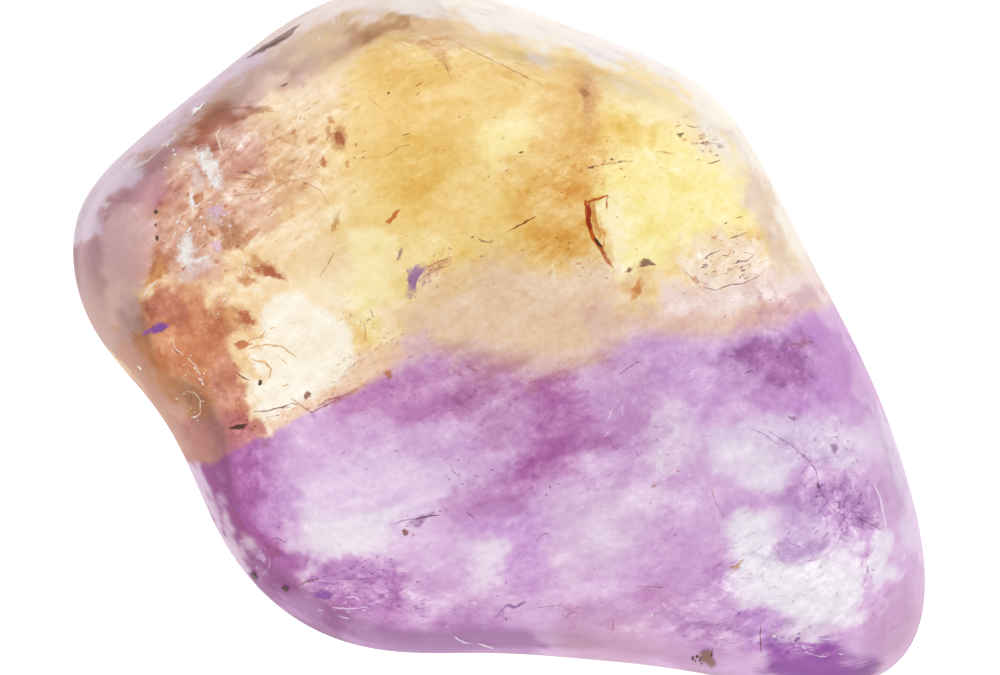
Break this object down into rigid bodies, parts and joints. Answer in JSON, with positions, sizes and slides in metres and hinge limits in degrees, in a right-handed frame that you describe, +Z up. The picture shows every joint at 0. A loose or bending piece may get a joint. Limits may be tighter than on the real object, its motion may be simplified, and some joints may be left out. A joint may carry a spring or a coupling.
{
  "type": "tumbled ametrine",
  "caption": "Polished, clear quartz pebble with worn facets, yellow on one side and violet on the other.",
  "frame": {"origin": "on the surface that the stone rests on, under the middle of its box", "axes": "+Z up out of the resting flat, +X along the longest side of the box from the blunt end to the violet tip, +Y from the violet side to the yellow side"},
  "size_m": [0.034, 0.028, 0.016],
  "materials": {
    "ametrine": "clear quartz polished to a gloss, warm yellow on the +Y side and violet on the -Y side, with brown, violet and white flaws inside"
  },
  "bodies": {
    "root": {"ametrine_stone": "ametrine"}
  },
  "joints": []
}
